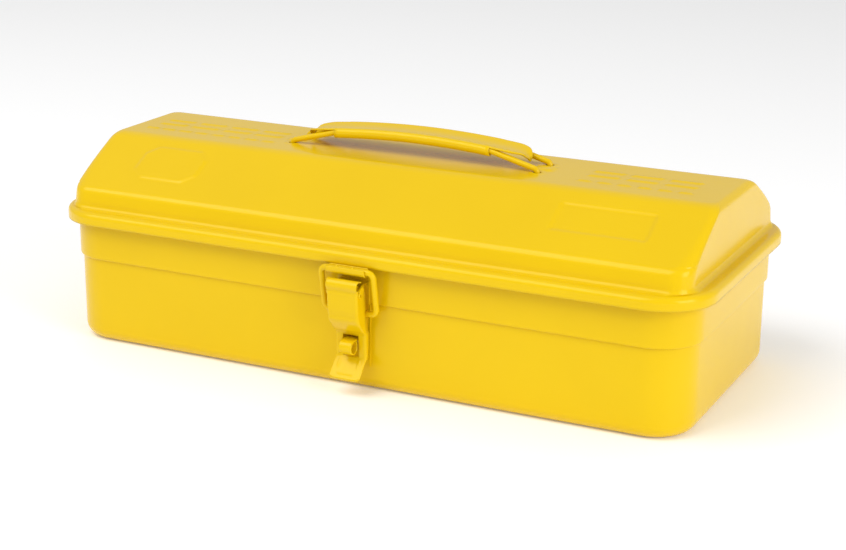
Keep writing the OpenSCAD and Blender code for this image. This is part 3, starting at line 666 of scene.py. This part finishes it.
def flange_points(y, z, depth, tilt):
    """The left flange's two points and the four of its bend, from the back to the front."""
    tilt = math.radians(tilt)
    back_y, back_z = math.cos(tilt), math.sin(tilt)
    r = min(FLANGE_BEND, max(0.12, depth * 0.5))
    points = [(-LEVER_HALF, y + back_y * d, z + back_z * d)
              for d in (max(depth, r + 0.02), max(depth * 0.5, r + 0.01))]
    for angle in (0, 22, 45, 68):
        across, back = math.cos(math.radians(angle)), 1 - math.sin(math.radians(angle))
        points.append((-LEVER_HALF + r - r * across, y + back_y * r * back, z + back_z * r * back))
    return points


def lever():
    """The pressed lever: rolled top, flat face, slotted plate, side flanges and flared tab."""
    rows = lever_rows()
    slot_x = spread(-SLOT_HALF, SLOT_HALF, LEVER_PITCH) + [SLOT_HALF]
    edge_x = spread(-LEVER_HALF + FLANGE_BEND, -SLOT_HALF, LEVER_PITCH)
    flat_x = edge_x + slot_x + [-x for x in reversed(edge_x)]
    points = []
    for y, z, depth, tilt in rows:
        left = flange_points(y, z, depth, tilt)
        row = left + [(x, y - tab_relief(x, z), z) for x in flat_x]
        row += [(-px, py, pz) for px, py, pz in reversed(left)]
        narrow = 1 - corner_inset(z - TAB_END[1]) / LEVER_HALF
        points += [(LATCH_X + px * narrow, py, pz) for px, py, pz in row]
    slot_start = len(left) + len(edge_x)
    slot_end = slot_start + len(slot_x) - 1

    def skip(i, j):
        middle_z = (rows[i][1] + rows[i + 1][1]) / 2
        return SLOT_LOW < middle_z < SLOT_HIGH and slot_start <= j < slot_end

    faces = grid_faces(len(rows), len(row), skip=skip)
    return new_piece("lever_pressed", points, faces, "lever", ["latch_lever"], INWARD)


def flange_curls():
    """The ends of the rolled pivot that show on the lever's two flanges."""
    meshes = []
    for side in (-1, 1):
        x = LATCH_X + side * (LEVER_HALF + CURL_PIN_PROUD)
        path = [(x, y, z) for y, z in arc(CURL_PIN, CURL_PIN_R, 130, 440, 22)]
        meshes.append(tube(path, CURL_PIN_EDGE_R, 10))
    points, faces = joined(*meshes)
    return new_piece("flange_curls", points, faces, "lever", [])


def bail():
    inner = LEVER_HALF - SHEET - 0.8
    outer = (BAIL_HIGH.x - BAIL_LOW.x) / 2 - WIRE_R
    left = [(-inner, *BAIL_PIVOT), (-outer, *BAIL_PIVOT), (-outer, *BAIL_BAR)]
    corners = left + [(-x, y, z) for x, y, z in reversed(left)]
    path = rounded_path([(LATCH_X + x, y, z) for x, y, z in corners], BAIL_CORNER_R)
    points, faces = tube(path, WIRE_R, 24)
    return new_piece("bail_wire", points, faces, "bail", ["latch_bail"])


def strip(section, low, high):
    """A strip of sheet as wide as a node's box: a Y-Z path drawn out along X."""
    half = (high.x - low.x) / 2
    stations = spread(-half, half, 0.5) + [half]
    points = [(LATCH_X + x, y, z) for y, z in section for x in stations]
    return points, grid_faces(len(section), len(stations))


def lip_wave(x, behind, above):
    """Lifts the catch's outer lip into two small bumps, and dips the curl under them."""
    bump = pad(abs(x) - WAVE_X, 0.0, 0.9, 1.0, 1.2)
    front = 1 - smoothstep(behind / WAVE_REACH)
    return (WAVE_UP if above > 0 else -WAVE_DOWN) * bump * front


def catch():
    """The hook on the lid's rim that curls under the bail's bar."""
    mid_r = CATCH_IN_R + SHEET / 2
    back_y, front_y = CATCH_HIGH.y - SHEET / 2, BAIL_BAR[0] - mid_r
    section = [(back_y, RIM_Z + 0.3), (back_y, RIM_Z - 0.2), (back_y, BAIL_BAR[1] + 0.8)]
    section += arc(BAIL_BAR, mid_r, 360, 180, 14) + [(front_y, RIM_Z - 0.4), (front_y, RIM_Z + 0.2)]
    points, faces = strip(section, CATCH_LOW, CATCH_HIGH)
    points = [(x, y, z + lip_wave(x - LATCH_X, y - front_y, z - BAIL_BAR[1])) for x, y, z in points]
    return new_piece("catch_hook", points, faces, "lid", ["latch_catch"], CENTRED)


def staple():
    """The padlock staple: a strip that turns out of its base and curls through nearly a full turn."""
    mid_r = STAPLE_IN_R + SHEET / 2
    base_y = STAPLE_HIGH.y - SHEET / 2
    bend = (base_y - STAPLE_BEND_R, STAPLE[1] + mid_r - STAPLE_BEND_R)
    section = [(base_y, STAPLE[1] + 0.6), (base_y, bend[1])]
    section += arc(bend, STAPLE_BEND_R, 0, 90, 4) + arc(STAPLE, mid_r, 90, 425, 34)
    points, faces = strip(section, STAPLE_LOW, STAPLE_HIGH)
    return new_piece("staple_curl", points, faces, "box", ["padlock_staple"], CENTRED)


# ---- Camera, light and floor ----

CAMERA_AZIMUTH, CAMERA_ELEVATION, CAMERA_ROLL = 25.80, 17.32, 0.50
CAMERA_TARGET, CAMERA_DISTANCE = Vector((0.0026, 0.00125, 0.04036)), 0.9967
LENS, SENSOR_WIDTH = 76.86, 36
WORLD_STRENGTH = 0.58
FLOOR_HALF = 6
FLOOR_COLOUR = (0.98, 0.98, 0.98, 1)
FLOOR_GLOW = 0.09
WHITE = (1, 1, 1, 1)


def camera():
    azimuth, elevation = math.radians(CAMERA_AZIMUTH), math.radians(CAMERA_ELEVATION)
    roll = math.radians(CAMERA_ROLL)
    level = math.cos(elevation)
    back = Vector((math.sin(azimuth) * level, -math.cos(azimuth) * level, math.sin(elevation)))
    right = (-back).cross(Vector((0, 0, 1))).normalized()
    up = right.cross(-back)
    across = right * math.cos(roll) + up * math.sin(roll)
    above = -right * math.sin(roll) + up * math.cos(roll)
    turn = Matrix((across, above, back)).transposed().to_4x4()
    data = bpy.data.cameras.new("camera")
    data.lens, data.sensor_width = LENS, SENSOR_WIDTH
    made = bpy.data.objects.new("camera", data)
    made.matrix_world = Matrix.Translation(CAMERA_TARGET + back * CAMERA_DISTANCE) @ turn
    bpy.context.scene.collection.objects.link(made)
    bpy.context.scene.camera = made


def soft_light(name, place, aim, size, power):
    data = bpy.data.lights.new(name, "AREA")
    data.shape = "RECTANGLE"
    data.size, data.size_y, data.energy = size[0], size[1], power
    made = bpy.data.objects.new(name, data)
    made.location = place
    made.rotation_euler = (Vector(aim) - Vector(place)).to_track_quat("-Z", "Y").to_euler()
    bpy.context.scene.collection.objects.link(made)


def pale_floor():
    mesh = bpy.data.meshes.new("floor")
    build = bmesh.new()
    bmesh.ops.create_grid(build, x_segments=2, y_segments=2, size=FLOOR_HALF)
    build.to_mesh(mesh)
    build.free()
    floor = bpy.data.objects.new("floor", mesh)
    bpy.context.scene.collection.objects.link(floor)
    material = bpy.data.materials.new("pale_floor")
    material.use_nodes = True
    shader = material.node_tree.nodes["Principled BSDF"]
    shader.inputs["Base Color"].default_value = FLOOR_COLOUR
    shader.inputs["Roughness"].default_value = 0.6
    shader.inputs["Emission Color"].default_value = WHITE
    shader.inputs["Emission Strength"].default_value = FLOOR_GLOW
    mesh.materials.append(material)


def studio():
    world = bpy.data.worlds.new("studio")
    world.use_nodes = True
    background = world.node_tree.nodes["Background"]
    background.inputs["Color"].default_value = WHITE
    background.inputs["Strength"].default_value = WORLD_STRENGTH
    bpy.context.scene.world = world
    soft_light("key", (-0.75, -1.0, 1.65), (0, 0, 0.05), (1.6, 1.4), 23)
    soft_light("side", (1.6, -0.55, 0.7), (0, 0, 0.06), (0.9, 1.1), 14)
    pale_floor()
    bpy.context.scene.view_settings.view_transform = "Standard"


def finish_cad_nodes():
    """Gives the CAD nodes that stay their materials."""
    zinc = {"left_hinge_pin", "right_hinge_pin", "tray_handle"}
    tray = set(frame["record"]["behaviour"]["bodies"]["tray"])
    for name, node in frame["nodes"].items():
        node.data.materials.clear()
        node.data.materials.append(ZINC if name in zinc else TRAY_PAINT if name in tray else PAINT)


camera()
studio()
finish_cad_nodes()
case()
lid()
grip()
wire("left_wire", -1, "left_handle_wire")
wire("right_wire", 1, "right_handle_wire")
lever()
flange_curls()
bail()
catch()
staple()
